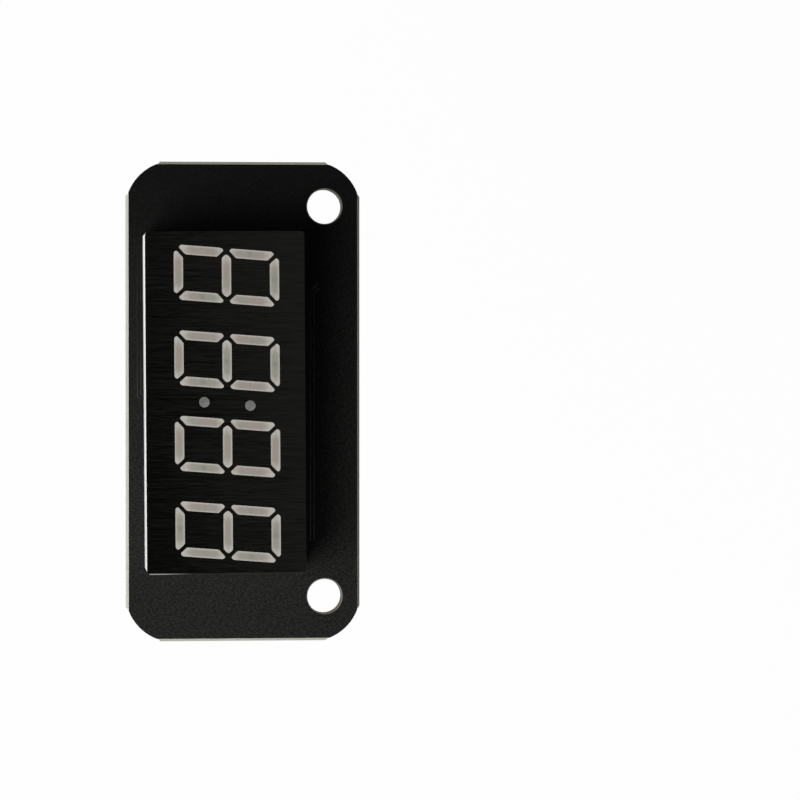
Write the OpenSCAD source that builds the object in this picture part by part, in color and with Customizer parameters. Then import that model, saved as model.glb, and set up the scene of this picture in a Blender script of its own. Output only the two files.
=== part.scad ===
// Four digit clock display on a small circuit board, with its driver chip
// and a four way socket on the back.
// Millimetres. The origin lies midway between the two mounting holes, on the
// front face of the board. +X points to the edge that has the holes, +Y runs
// along the board to the driver chip's end, and +Z leaves the display's face.

/* [Board] */
// Width of the circuit board, over its scored edges
board_w = 21; // [20.5:0.25:30]
// Length of the circuit board, over its scored edges
board_l = 43; // [42.5:0.25:60]
// Thickness of the circuit board
board_t = 1.6; // [1:0.2:2.4]
// Radius of the routed corners
corner_r = 4.4; // [4:0.1:6]
// How far a routed corner reaches along each edge
corner_run = 2.5; // [2:0.1:2.8]
// How far the broken web of a scored edge stands out
edge_out = 0.25; // [0.1:0.05:0.4]
// Depth of the score on each face
score_depth = 0.55; // [0.2:0.05:0.7]
// Diameter of the mounting holes
hole_d = 3.1; // [2.5:0.1:3.5]
// Distance from a mounting hole to the board's end
hole_end = 4; // [3.9:0.05:4.2]
// Distance from a mounting hole to the board's side edge
hole_edge = 3.2; // [3.1:0.05:3.3]
// Outer diameter of the tinned ring round a mounting hole
hole_ring_d = 5.5; // [4.5:0.1:5.6]
// Thickness of a tinned copper pad
pad_t = 0.05; // [0.03:0.01:0.08]

/* [Display] */
// Width of the display, along the height of its digits
display_w = 14; // [13.7:0.1:14.6]
// Length of the display, along its row of digits
display_l = 30.1; // [29.5:0.1:31.5]
// Height of the display above the board
display_h = 7.2; // [6.5:0.1:9]
// Distance from the board's middle to the display's middle, to the left
display_left = 1.9; // [1.7:0.1:2.1]
// How far the display sits turned on the board, in degrees
display_turn = 0.35; // [0:0.05:0.6]
// Thickness of the black film on the face
film_t = 0.1; // [0.06:0.02:0.2]
// How far the lit bars lie below the film's surface
lens_sink = 0.02; // [0.01:0.01:0.05]
// Wall of the display's housing behind the light wells
housing_wall = 0.85; // [0.6:0.05:0.9]
// Depth of the pocket in the back of the housing
pocket_d = 2.6; // [2.2:0.1:3.4]
// Radius of the housing's upright edges
housing_r = 0.35; // [0.2:0.05:0.8]
// Thickness of the inner circuit board that carries the light chips
substrate_t = 1; // [0.6:0.1:1.4]
// Clearance round the inner circuit board
substrate_gap = 0.1; // [0.05:0.05:0.2]
// How far the cast resin in the back stays clear of the main board
potting_gap = 0.3; // [0.1:0.05:0.5]
// Side of a light chip
die_w = 0.25; // [0.2:0.05:0.35]
// Height of a light chip
die_h = 0.12; // [0.1:0.02:0.2]

/* [Digits] */
// Distance from one digit to the next
digit_pitch = 7.5; // [7.3:0.05:7.6]
// Distance between the middle lines of the top and bottom bars
digit_h = 8.43; // [8:0.05:8.8]
// Distance between the middle lines of the left and right bars
digit_w = 4.02; // [3.8:0.05:4.4]
// Width of a bar
bar_t = 0.82; // [0.7:0.02:1]
// Gap between two bars
bar_gap = 0.27; // [0.2:0.01:0.35]
// Gap between the points of two bars on the same side
side_gap = 0.46; // [0.3:0.02:0.6]
// Extra gap at the ends of the top and bottom bars
end_gap = 0.09; // [0:0.01:0.15]
// How far the middle bar's points reach in between the side bars
middle_reach = 0.13; // [0:0.01:0.2]
// Radius of a bar's points
bar_r = 0.24; // [0.12:0.02:0.3]
// Distance from a bar's outer side to its point at the digit's corner
bar_tip = 0.22; // [0.16:0.02:0.36]
// Slant of the digits, in degrees
digit_slant = 4.6; // [0:0.1:8]
// How far the digits and colon sit off the display's middle, across its width
digits_over = 0.13; // [0:0.01:0.3]
// How far they sit off its middle along its length, to the socket's end
digits_down = 0.12; // [0:0.01:0.2]
// Diameter of the colon's dots
colon_d = 0.92; // [0.7:0.02:1.2]
// Distance between the colon's dots
colon_pitch = 4.03; // [3.5:0.05:4.5]

/* [Display pins] */
// Distance between the two rows of display pins
pin_rows = 10.16; // [10:0.02:10.2]
// Distance between neighbouring display pins
pin_pitch = 2.54; // [2.5:0.01:2.6]
// Number of pins in a row
pin_count = 6; // [6:1:7]
// Diameter of a display pin
pin_d = 0.5; // [0.4:0.02:0.6]
// How far a cut pin stands out of the board's back
pin_out = 1.05; // [0.9:0.05:1.6]
// Diameter of a plated pin hole, inside its plating
pin_hole_d = 0.9; // [0.8:0.05:1]
// Outer diameter of a pin's solder ring
pin_ring_d = 1.9; // [1.6:0.05:2]
// Height of the solder cone on a pin
cone_h = 0.85; // [0.5:0.05:0.9]

/* [Driver chip] */
// Length of the driver chip's body
driver_l = 12.6; // [12.3:0.1:13]
// Width of the driver chip's body
driver_w = 7.4; // [7:0.1:7.7]
// Height of the driver chip above the board
driver_h = 2.45; // [2.2:0.05:2.7]
// Gap between the driver chip's body and the board
driver_gap = 0.15; // [0.1:0.05:0.3]
// Taper of the driver chip's sides, on each side
driver_draft = 0.22; // [0.1:0.02:0.3]
// Distance from the board's far end to the middle of the driver chip
driver_end = 7.5; // [7.4:0.05:7.6]
// Distance from the board's middle to the driver chip's middle, to the left
driver_left = 2; // [1.8:0.1:2.2]
// Distance between neighbouring leads
lead_pitch = 1.27; // [1.2:0.01:1.28]
// Number of leads on a side
lead_count = 10; // [8:1:10]
// Distance over the tips of the two rows of leads
lead_span = 10.6; // [10.3:0.1:10.8]
// Width of a lead
lead_w = 0.42; // [0.36:0.02:0.5]
// Thickness of a lead
lead_t = 0.25; // [0.2:0.01:0.3]
// Length of a lead's foot
foot_l = 0.8; // [0.6:0.05:0.9]
// Length of a lead's pad past the foot's tip
toe_l = 0.45; // [0.3:0.05:0.5]

/* [Socket] */
// Length of the socket's housing
socket_l = 12.2; // [11.9:0.1:12.6]
// Width of the socket's housing
socket_w = 5.5; // [5.4:0.05:5.8]
// Height of the socket above the board
socket_h = 6; // [5.6:0.1:8]
// Distance from the board's near end to the middle of the socket
socket_end = 8.1; // [8:0.05:8.3]
// Distance from the board's middle to the socket's middle, to the left
socket_left = 1.8; // [1.7:0.05:2]
// Length of the socket's cavity
cavity_l = 8.9; // [8.8:0.05:9.2]
// Width of the socket's cavity
cavity_w = 3.77; // [3.7:0.02:3.85]
// Wall of the socket on the side of its leads
lead_wall = 0.6; // [0.5:0.05:0.65]
// Thickness of the socket's floor
floor_t = 1.3; // [1:0.05:1.6]
// Height of the ledge above the floor
ledge_h = 1.5; // [0.8:0.1:2]
// Width of the ledge
ledge_w = 1.6; // [1.4:0.05:1.65]
// Length of the key slot in the far wall
key_l = 5.05; // [4.6:0.05:5.4]
// Depth of the key slot
key_d = 0.63; // [0.5:0.01:0.7]
// Distance between neighbouring socket pins
socket_pitch = 2; // [1.95:0.05:2.05]
// Side of a socket pin
socket_pin_w = 0.5; // [0.4:0.02:0.6]
// How far a socket pin's tip stays below the rim
pin_below = 1; // [0.8:0.1:1.4]
// How far the socket pins stand off the housing's middle line
pin_off = 0.2; // [0.1:0.05:0.3]
// Width of a socket lead
tail_w = 0.8; // [0.7:0.02:0.9]
// Thickness of a socket lead
tail_t = 0.25; // [0.2:0.01:0.3]
// How far a socket lead reaches out of the housing
tail_out = 2.4; // [2:0.1:2.6]
// Clearance round metal parts in the socket's housing
metal_gap = 0.04; // [0.02:0.01:0.06]
// Thickness of a socket's anchor plate
anchor_t = 0.3; // [0.2:0.02:0.36]
// Width of a socket's anchor plate
anchor_w = 3.4; // [3.2:0.05:3.6]
// Width of the recess that shows the anchor
recess_w = 2.05; // [1.6:0.05:2.2]
// Depth of the recess that shows the anchor
recess_d = 1.1; // [0.9:0.05:1.15]
// How far an anchor's foot reaches past the housing
anchor_out = 0.45; // [0.3:0.05:0.6]

/* [Small chips] */
// Length of a chip resistor or capacitor
chip_l = 1.6; // [1.5:0.02:1.7]
// Width of a chip resistor or capacitor
chip_w = 0.8; // [0.7:0.02:0.9]
// Height of a resistor
resistor_h = 0.45; // [0.35:0.02:0.55]
// Height of a capacitor
capacitor_h = 0.8; // [0.6:0.02:0.9]
// Height of the power light
light_h = 0.6; // [0.5:0.02:0.8]
// Height of the power light's base
light_base_h = 0.28; // [0.2:0.02:0.35]
// Length of a chip's metal end
chip_end = 0.3; // [0.2:0.02:0.4]
// Distance over the two pads of a chip
chip_pads_l = 2.3; // [2.2:0.02:2.5]
// Width of a chip's pad
chip_pad_w = 0.9; // [0.8:0.02:1]
// Distance between the two columns of chips
column_pitch = 2.15; // [2.05:0.05:2.3]
// Distance from the board's middle to the middle of the columns, to the left
column_left = 2.05; // [1.95:0.05:2.15]
// Distance between neighbouring rows of chips
row_pitch = 3.34; // [3.2:0.02:3.4]
// Distance from the board's middle to the middle of the rows, to the socket
row_off = 0.75; // [0.65:0.05:0.85]

/* [Small ring] */
// Outer diameter of the small tinned ring
marker_d = 2.9; // [2.6:0.1:3.1]
// Width of the small tinned ring's band
marker_band = 0.52; // [0.4:0.02:0.7]
// Distance from the small ring's middle to the board's side edge
marker_in = 3.05; // [3:0.05:3.2]
// Distance from the small ring's middle to the board's near end
marker_end = 8.7; // [8.6:0.05:8.9]

/* [Hidden] */
$fn = 48;
overlap = 0.5;              // how far a joined shape reaches into its carrier
corner_steps = 2;           // chords in a rounded corner of a bar or a strip
plating = 0.05;             // wall of a plated pin hole
barrel_land = 0.1;          // how far a plated hole's pad keeps off the housing's wall
digit_count = 4;
board_x = hole_edge - board_w / 2;
hole_pitch = board_l - 2 * hole_end;
flank_w = board_w - 2 * edge_out;
flank_l = board_l - 2 * edge_out;
corner_c = (corner_run + sqrt(2 * corner_r * corner_r - corner_run * corner_run)) / 2;
web_end = corner_run + 0.1;  // a broken web ends just short of the corner
display_x = board_x - display_left;
film_z = display_h - film_t;
pocket_r = 0.2;
// The bars of a digit, in order: top, upper right, lower right, bottom,
// lower left, upper left and middle
bar_count = 7;
tip_r = bar_t / 2 - bar_tip;
mitre = bar_gap / sqrt(2);
// The driver chip's leads leave the body at its parting plane
parting_z = (driver_h + driver_gap) / 2;
driver_x = board_x - driver_left;
driver_y = board_l / 2 - driver_end;
lead_drop = 0.28;           // sideways run of a lead's slope
lead_r = 0.28;              // outer radius of a lead's bends
pad_w = 0.62;               // width of a lead's pad
heel_l = 0.3;               // length of a lead's pad behind the foot
dimple_d = 0.9;
dimple_in = 1.25;           // distance of the dimple from the body's two edges
dimple_deep = 0.12;
socket_x = board_x - socket_left;
socket_y = socket_end - board_l / 2;
socket_low = -socket_w / 2;
cavity_low = socket_low + lead_wall;
socket_pin_top = socket_h - pin_below;
socket_pin_count = 4;
socket_pad_w = 1.05;
relief_l = 8.4;             // length of the shallow relief on the lead side
relief_d = 0.1;
groove_w = 0.14;
groove_d = 0.3;
anchor_x = socket_l / 2 - recess_d - anchor_t;
socket_toe = 0.22;          // length of a socket pad past the terminal's end
anchor_toe = 0.3;           // reach of an anchor's pad past its foot
chip_row_count = 4;
columns_x = board_x - column_left;
// Column and row of each small chip, counted from the left and from the socket
resistor_places = [[0, 0], [0, 2], [1, 2]];
capacitor_places = [[0, 1], [1, 1], [0, 3], [1, 3]];
light_places = [[1, 0]];
end_proud = 0.02;           // how far a chip's metal ends stand proud of its body
lens_lap = 0.06;            // how far the power light's lens lies over its metal ends
solder_rise = 0.6;          // height of a solder seam, as a share of the metal's thickness

// General shapes

// A point set back from a corner towards its neighbour
function toward(corner, other, far) = corner + (other - corner) * (far / norm(other - corner));

// A corner of a polygon as a short arc, with a radius that its sides have room for
function soft_corner(before, corner, after, r) =
    let (
        a = before - corner,
        b = after - corner,
        half = acos(max(-1, min(1, a * b / (norm(a) * norm(b))))) / 2,
        back = min(r / tan(half), 0.45 * norm(a), 0.45 * norm(b)),
        p = toward(corner, before, back),
        q = toward(corner, after, back)
    )
    [for (i = [0 : corner_steps])
        let (s = i / corner_steps)
        (1 - s) * (1 - s) * p + 2 * s * (1 - s) * corner + s * s * q];

// A polygon with all its corners rounded
function softened(points, r) =
    let (n = len(points))
    [for (i = [0 : n - 1])
        each soft_corner(points[(i + n - 1) % n], points[i], points[(i + 1) % n], r)];

// The direction of a path at one of its points, with the length that keeps a
// strip's thickness through a bend
function mitre_at(path, i) =
    let (
        n = len(path),
        a = i == 0 ? path[1] - path[0] : path[i] - path[i - 1],
        b = i == n - 1 ? path[n - 1] - path[n - 2] : path[i + 1] - path[i],
        ua = a / norm(a),
        ub = b / norm(b),
        mid = (ua + ub) / norm(ua + ub)
    )
    [-mid[1], mid[0]] / (mid * ua);

// The outline of a flat strip that is bent along a path
function strip(path, t) = concat(
    [for (i = [0 : len(path) - 1]) path[i] + mitre_at(path, i) * t / 2],
    [for (i = [len(path) - 1 : -1 : 0]) path[i] - mitre_at(path, i) * t / 2]
);

module block(size, low_z = 0) {
    translate([-size[0] / 2, -size[1] / 2, low_z])
        cube(size);
}

// A hollow seam of solder against an upright face, as a profile
module fillet(reach, h) {
    polygon([
        [0, 0],
        [reach, 0],
        [reach * 0.55, h * solder_rise * 0.3],
        [reach * 0.2, h * solder_rise * 0.65],
        [0, h * solder_rise]
    ]);
}

module ring(outer_d, inner_d, h) {
    difference() {
        cylinder(d = outer_d, h = h);
        translate([0, 0, -overlap])
            cylinder(d = inner_d, h = h + 2 * overlap);
    }
}

// Everything on the back is drawn with z away from the board
module on_back() {
    translate([0, 0, -board_t])
        mirror([0, 0, 1])
            children();
}

// A profile in the y and z directions, drawn out to a width along x
module across(w) {
    translate([-w / 2, 0, 0])
        rotate([90, 0, 90])
            linear_extrude(w)
                children();
}

// A profile in the x and z directions, drawn out to a length along y
module along(l) {
    translate([0, l / 2, 0])
        rotate([90, 0, 0])
            linear_extrude(l)
                children();
}

// Board

// The scored edges leave a rectangle, and each corner is routed off along an arc
// that meets both edges at a blunt angle
module board_outline() {
    difference() {
        square([flank_w, flank_l], center = true);
        for (sx = [-1, 1], sy = [-1, 1])
            translate([sx * flank_w / 2, sy * flank_l / 2])
                difference() {
                    square(2 * (corner_run + overlap), center = true);
                    translate([-sx * corner_c, -sy * corner_c])
                        circle(r = corner_r);
                }
    }
}

// The broken web along one scored edge, with slanted ends
module edge_web(length) {
    half = length / 2;
    intersection() {
        along(length)
            polygon([
                [-overlap, 0],
                [0, 0],
                [edge_out, score_depth],
                [edge_out, board_t - score_depth],
                [0, board_t],
                [-overlap, board_t]
            ]);
        linear_extrude(board_t)
            polygon([
                [-overlap, -half],
                [0, -half],
                [edge_out, edge_out - half],
                [edge_out, half - edge_out],
                [0, half],
                [-overlap, half]
            ]);
    }
}

module at_holes() {
    for (s = [-1, 1])
        translate([0, s * hole_pitch / 2, 0])
            children();
}

module at_pins() {
    translate([display_x, 0, 0])
        for (sx = [-1, 1], i = [0 : pin_count - 1])
            translate([sx * pin_rows / 2, (i - (pin_count - 1) / 2) * pin_pitch, 0])
                children();
}

module circuit_board() {
    color([0.07, 0.07, 0.07])
        difference() {
            translate([board_x, 0, -board_t])
                union() {
                    linear_extrude(board_t)
                        board_outline();
                    for (a = [0, 180])
                        rotate([0, 0, a])
                            translate([flank_w / 2, 0, 0])
                                edge_web(flank_l - 2 * web_end);
                    for (a = [90, 270])
                        rotate([0, 0, a])
                            translate([flank_l / 2, 0, 0])
                                edge_web(flank_w - 2 * web_end);
                }
            at_holes()
                translate([0, 0, -board_t - overlap])
                    cylinder(d = hole_d, h = board_t + 2 * overlap);
            at_pins()
                translate([0, 0, -board_t - overlap])
                    cylinder(d = pin_hole_d + 2 * plating, h = board_t + 2 * overlap);
        }
}

module mounting_pads() {
    color([0.7, 0.7, 0.7])
        on_back()
            at_holes()
                ring(hole_ring_d, hole_d, pad_t);
}

// A plated hole with its ring on both faces of the board
module pin_barrels() {
    pocket_side = display_w / 2 - housing_wall - pin_rows / 2 - barrel_land;
    front_r = min(pin_ring_d / 2, pocket_side);
    color([0.75, 0.72, 0.62])
        at_pins()
            difference() {
                union() {
                    translate([0, 0, -board_t - pad_t])
                        cylinder(d = pin_ring_d, h = pad_t);
                    translate([0, 0, -board_t - pad_t])
                        cylinder(d = pin_hole_d + 2 * plating, h = board_t + 2 * pad_t);
                    cylinder(r = front_r, h = pad_t);
                }
                translate([0, 0, -board_t - overlap])
                    cylinder(d = pin_hole_d, h = board_t + 2 * overlap);
            }
}

module marker_ring() {
    color([0.7, 0.7, 0.7])
        on_back()
            translate([board_x + board_w / 2 - marker_in, marker_end - board_l / 2, 0])
                ring(marker_d, marker_d - 2 * marker_band, pad_t);
}

// Display

// The upper right bar, from the middle of the digit to its corner
function side_bar() = [
    [digit_w / 2 + tip_r, side_gap / 2],
    [digit_w / 2 + bar_t / 2, side_gap / 2 + bar_tip],
    [digit_w / 2 + bar_t / 2, digit_h / 2 + tip_r - mitre - bar_tip],
    [digit_w / 2 + tip_r, digit_h / 2 + tip_r - mitre],
    [digit_w / 2 - bar_t / 2, digit_h / 2 - bar_t / 2 - mitre],
    [digit_w / 2 - bar_t / 2, side_gap / 2 + tip_r + bar_t / 2]
];

// The top bar
function end_bar() =
    let (
        tip = digit_w / 2 + tip_r - mitre - end_gap,
        inner = digit_w / 2 - bar_t / 2 - mitre - end_gap,
        outer = tip - bar_tip,
        y = digit_h / 2
    )
    [
        [outer, y + bar_t / 2],
        [-outer, y + bar_t / 2],
        [-tip, y + tip_r],
        [-inner, y - bar_t / 2],
        [inner, y - bar_t / 2],
        [tip, y + tip_r]
    ];

// The middle bar, pointed at both ends
function middle_bar() =
    let (
        tip = digit_w / 2 - mitre + middle_reach,
        side = tip - bar_t / 2
    )
    [
        [side, bar_t / 2],
        [-side, bar_t / 2],
        [-tip, 0],
        [-side, -bar_t / 2],
        [side, -bar_t / 2],
        [tip, 0]
    ];

function flipped(points, sx, sy) = [for (p = points) [p[0] * sx, p[1] * sy]];

function upright_bar(i) =
    i == 0 ? end_bar() :
    i == 1 ? side_bar() :
    i == 2 ? flipped(side_bar(), 1, -1) :
    i == 3 ? flipped(end_bar(), 1, -1) :
    i == 4 ? flipped(side_bar(), -1, -1) :
    i == 5 ? flipped(side_bar(), -1, 1) :
    middle_bar();

// From a digit's own upright frame to the display's: the digits are slanted,
// and their tops point to -X
function laid_down(p) = [-p[1], p[0] + p[1] * tan(digit_slant)];

function bar_points(i) = [for (p = softened(upright_bar(i), bar_r)) laid_down(p)];

// The middle of each bar, where its light chip sits
function bar_middle(i) =
    let (across_x = [0, 1, 1, 0, -1, -1, 0], up = [1, 0.5, -0.5, -1, -0.5, 0.5, 0])
    laid_down([across_x[i] * digit_w / 2, up[i] * digit_h / 2]);

digits_at = [digits_over, -digits_down];

function digit_place(k) = digits_at + [0, (k - (digit_count - 1) / 2) * digit_pitch];

function colon_place(s) = digits_at + laid_down([0, s * colon_pitch / 2]);

module on_display() {
    translate([display_x, 0, 0])
        rotate([0, 0, display_turn])
            children();
}

module bar_shapes(k) {
    for (i = [0 : bar_count - 1])
        translate(digit_place(k))
            polygon(bar_points(i));
}

module colon_shapes() {
    for (s = [-1, 1])
        translate(colon_place(s))
            circle(d = colon_d, $fn = 32);
}

module face_windows() {
    for (k = [0 : digit_count - 1])
        bar_shapes(k);
    colon_shapes();
}

module rounded_plate(w, l, r) {
    union() {
        square([w - 2 * r, l], center = true);
        square([w, l - 2 * r], center = true);
        for (sx = [-1, 1], sy = [-1, 1])
            translate([sx * (w / 2 - r), sy * (l / 2 - r)])
                circle(r = r);
    }
}

// One moulding: side walls, a pocket at the back and a thick face with a light
// well behind each bar
module display_housing() {
    color([0.9, 0.89, 0.86])
        on_display()
            difference() {
                linear_extrude(film_z)
                    rounded_plate(display_w, display_l, housing_r);
                translate([0, 0, -overlap])
                    linear_extrude(pocket_d + overlap)
                        rounded_plate(display_w - 2 * housing_wall, display_l - 2 * housing_wall, pocket_r);
                translate([0, 0, pocket_d - overlap])
                    linear_extrude(film_z - pocket_d + 2 * overlap)
                        face_windows();
            }
}

module display_film() {
    color([0.09, 0.09, 0.09])
        on_display()
            translate([0, 0, film_z])
                linear_extrude(film_t)
                    difference() {
                        rounded_plate(display_w, display_l, housing_r);
                        face_windows();
                    }
}

module light_chip(place) {
    translate([place[0], place[1], 0])
        block([die_w, die_w, die_h], pocket_d);
}

// Clear resin that fills a light well, cast round the light chip behind it
module filled_wells(places) {
    on_display()
        difference() {
            translate([0, 0, pocket_d])
                linear_extrude(display_h - lens_sink - pocket_d)
                    children();
            for (place = places)
                light_chip(place);
        }
}

module digit_bars(k) {
    color([0.62, 0.6, 0.57])
        filled_wells([for (i = [0 : bar_count - 1]) digit_place(k) + bar_middle(i)])
            bar_shapes(k);
}

module colon_dots() {
    color([0.5, 0.5, 0.48])
        filled_wells([colon_place(-1), colon_place(1)])
            colon_shapes();
}

module light_chips() {
    color([0.8, 0.6, 0.3])
        on_display() {
            for (k = [0 : digit_count - 1], i = [0 : bar_count - 1])
                light_chip(digit_place(k) + bar_middle(i));
            for (s = [-1, 1])
                light_chip(colon_place(s));
        }
}

module inner_board() {
    gap = housing_wall + substrate_gap;
    color([0.75, 0.7, 0.5])
        difference() {
            on_display()
                translate([0, 0, pocket_d - substrate_t])
                    linear_extrude(substrate_t)
                        rounded_plate(display_w - 2 * gap, display_l - 2 * gap, pocket_r);
            at_pins()
                cylinder(d = pin_d, h = display_h);
        }
}

module cast_resin() {
    color([0.85, 0.83, 0.75])
        difference() {
            on_display()
                translate([0, 0, potting_gap])
                    linear_extrude(pocket_d - substrate_t - potting_gap)
                        rounded_plate(display_w - 2 * housing_wall, display_l - 2 * housing_wall, pocket_r);
            at_pins()
                cylinder(d = pin_d, h = display_h);
        }
}

module display_pins() {
    tail = board_t + pin_out;
    color([0.8, 0.8, 0.8])
        at_pins()
            translate([0, 0, -tail])
                cylinder(d = pin_d, h = tail + pocket_d, $fn = 24);
}

// Solder that fills a plated hole and climbs the pin in a hollow cone
module pin_solder() {
    low_r = pin_ring_d / 2 - pad_t;
    top_r = pin_d / 2 + 0.09;
    color([0.72, 0.72, 0.72])
        at_pins()
            mirror([0, 0, 1])
                rotate_extrude()
                    polygon([
                        [pin_d / 2, 0],
                        [pin_hole_d / 2, 0],
                        [pin_hole_d / 2, board_t + pad_t],
                        [low_r, board_t + pad_t],
                        for (s = [0.06, 0.25, 0.5, 0.75])
                            [top_r + (low_r - top_r) * (1 - s) * (1 - s * s), board_t + pad_t + s * cone_h],
                        [top_r, board_t + pad_t + cone_h],
                        [pin_d / 2, board_t + pad_t + cone_h]
                    ]);
}

// Driver chip

module at_leads() {
    translate([driver_x, driver_y, 0])
        for (side = [0, 1], i = [0 : lead_count - 1])
            mirror([0, side, 0])
                translate([(i - (lead_count - 1) / 2) * lead_pitch, 0, 0])
                    children();
}

// The six sided section that a mould with two tapered halves leaves
module moulded_section(w, h, draft) {
    polygon([
        [-w / 2 + draft, 0],
        [w / 2 - draft, 0],
        [w / 2, h / 2],
        [w / 2 - draft, h],
        [-w / 2 + draft, h],
        [-w / 2, h / 2]
    ]);
}

module driver_body() {
    h = driver_h - driver_gap;
    color([0.13, 0.13, 0.13])
        on_back()
            translate([driver_x, driver_y, driver_gap])
                difference() {
                    intersection() {
                        along(2 * driver_w)
                            moulded_section(driver_l, h, driver_draft);
                        across(2 * driver_l)
                            moulded_section(driver_w, h, driver_draft);
                    }
                    translate([dimple_in - driver_l / 2, driver_w / 2 - dimple_in, h - dimple_deep])
                        cylinder(d = dimple_d, h = overlap);
                    translate([-driver_x, -driver_y, -driver_gap])
                        at_leads()
                            lead();
                }
}

// A gull wing lead: out of the body, down a slope and along the pad
module lead() {
    tip = lead_span / 2;
    heel = tip - foot_l;
    low = pad_t + lead_t / 2;
    root = driver_w / 2 - 0.4;
    across(lead_w)
        polygon(softened(strip([
            [root, parting_z],
            [heel - lead_drop, parting_z],
            [heel, low],
            [tip, low]
        ], lead_t), lead_r));
}

module driver_leads() {
    color([0.75, 0.75, 0.75])
        on_back()
            at_leads()
                lead();
}

// The place of a lead's pad: a slot shape from behind the heel to past the tip
module lead_land(w) {
    from = lead_span / 2 - foot_l - heel_l + w / 2;
    to = lead_span / 2 + toe_l - w / 2;
    translate([-w / 2, from])
        square([w, to - from]);
    for (y = [from, to])
        translate([0, y])
            circle(d = w, $fn = 24);
}

module driver_pads() {
    color([0.75, 0.72, 0.62])
        on_back()
            at_leads()
                linear_extrude(pad_t)
                    lead_land(pad_w);
}

module driver_solder() {
    color([0.72, 0.72, 0.72])
        on_back()
            at_leads()
                difference() {
                    translate([0, 0, pad_t])
                        linear_extrude(solder_rise * lead_t)
                            lead_land(pad_w - pad_t);
                    lead();
                }
}

// Socket

module at_socket() {
    on_back()
        translate([socket_x, socket_y, 0])
            children();
}

module at_socket_pins() {
    for (i = [0 : socket_pin_count - 1])
        translate([(i - (socket_pin_count - 1) / 2) * socket_pitch, 0, 0])
            children();
}

// One terminal: an upright pin on a flat lead that runs out under the lead
// wall. With a gap it is the passage that the housing leaves for it.
module terminal(gap = 0) {
    low = gap > 0 ? -overlap : pad_t;
    tail_end = socket_low - tail_out;
    point = socket_pin_w / 2;
    translate([-point - gap, pin_off - point - gap, low])
        cube([socket_pin_w + 2 * gap, socket_pin_w + 2 * gap, socket_pin_top - point - low]);
    translate([0, pin_off, socket_pin_top - point])
        intersection() {
            across(socket_pin_w)
                polygon([[-point, 0], [point, 0], [point / 2, point], [-point / 2, point]]);
            along(socket_pin_w)
                polygon([[-point, 0], [point, 0], [point / 2, point], [-point / 2, point]]);
        }
    translate([-tail_w / 2 - gap, tail_end, low])
        cube([tail_w + 2 * gap, pin_off + point + gap - tail_end, pad_t + tail_t + gap - low]);
}

// One anchor on the right end: an upright plate in the end wall's slot, and a
// foot that reaches out through the recess on to its pad
module anchor() {
    translate([anchor_x, -anchor_w / 2, pad_t])
        cube([anchor_t, anchor_w, socket_pin_top - pad_t]);
    translate([anchor_x, -recess_w / 2 + metal_gap, pad_t])
        cube([anchor_t + recess_d + anchor_out, recess_w - 2 * metal_gap, anchor_t]);
    translate([socket_l / 2 + metal_gap, -anchor_w / 2, pad_t])
        cube([anchor_out - metal_gap, anchor_w, anchor_t]);
}

// The slot for an anchor's plate and the recess that shows it
module anchor_space() {
    translate([anchor_x - metal_gap, -anchor_w / 2 - metal_gap, -overlap])
        cube([anchor_t + 2 * metal_gap, anchor_w + 2 * metal_gap, socket_h + 2 * overlap]);
    translate([socket_l / 2 - recess_d, -recess_w / 2, -overlap])
        cube([recess_d + overlap, recess_w, socket_h + 2 * overlap]);
}

module socket_housing() {
    color([0.88, 0.83, 0.75])
        at_socket()
            difference() {
                block([socket_l, socket_w, socket_h - pad_t], pad_t);
                // the cavity, down to the ledge along the lead wall and to the floor beyond it
                translate([-cavity_l / 2, cavity_low, floor_t + ledge_h])
                    cube([cavity_l, cavity_w, socket_h]);
                translate([-cavity_l / 2, cavity_low + ledge_w, floor_t])
                    cube([cavity_l, cavity_w - ledge_w, socket_h]);
                // the key slot
                translate([-key_l / 2, cavity_low + cavity_w - overlap, floor_t])
                    cube([key_l, key_d + overlap, socket_h]);
                // grooves between the pins
                for (i = [1 : socket_pin_count - 1])
                    translate([(i - socket_pin_count / 2) * socket_pitch - groove_w / 2,
                               cavity_low + ledge_w, floor_t - groove_d])
                        cube([groove_w, cavity_w - ledge_w, groove_d + overlap]);
                // shallow relief on the lead side
                translate([-relief_l / 2, socket_low - overlap, -overlap])
                    cube([relief_l, relief_d + overlap, socket_h + 2 * overlap]);
                // recesses and slots for the anchors, open at the top
                for (side = [0, 1])
                    mirror([side, 0, 0])
                        anchor_space();
                // passages for the terminals
                at_socket_pins()
                    terminal(metal_gap);
            }
}

module socket_pins() {
    color([0.8, 0.78, 0.7])
        at_socket()
            at_socket_pins()
                terminal();
}

module socket_anchors() {
    color([0.8, 0.8, 0.8])
        at_socket()
            for (side = [0, 1])
                mirror([side, 0, 0])
                    anchor();
}

module socket_pads() {
    color([0.75, 0.72, 0.62])
        at_socket() {
            at_socket_pins()
                translate([-socket_pad_w / 2, socket_low - tail_out - socket_toe, 0])
                    cube([socket_pad_w, tail_out + socket_toe + lead_wall, pad_t]);
            for (side = [0, 1])
                mirror([side, 0, 0])
                    translate([socket_l / 2 - recess_d, -anchor_w / 2 - anchor_toe / 2, 0])
                        cube([recess_d + anchor_out + anchor_toe, anchor_w + anchor_toe, pad_t]);
        }
}

// Solder round the ends of the terminals and along the anchors' feet
module socket_solder() {
    color([0.72, 0.72, 0.72])
        at_socket() {
            at_socket_pins()
                difference() {
                    translate([-socket_pad_w / 2, socket_low - tail_out - socket_toe, pad_t])
                        cube([socket_pad_w, socket_toe + tail_w, solder_rise * tail_t]);
                    terminal();
                }
            for (side = [0, 1])
                mirror([side, 0, 0])
                    translate([socket_l / 2 + anchor_out, 0, pad_t])
                        along(anchor_w)
                            fillet(anchor_toe, anchor_t);
        }
}

// Small chips, in four rows and two columns

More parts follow.
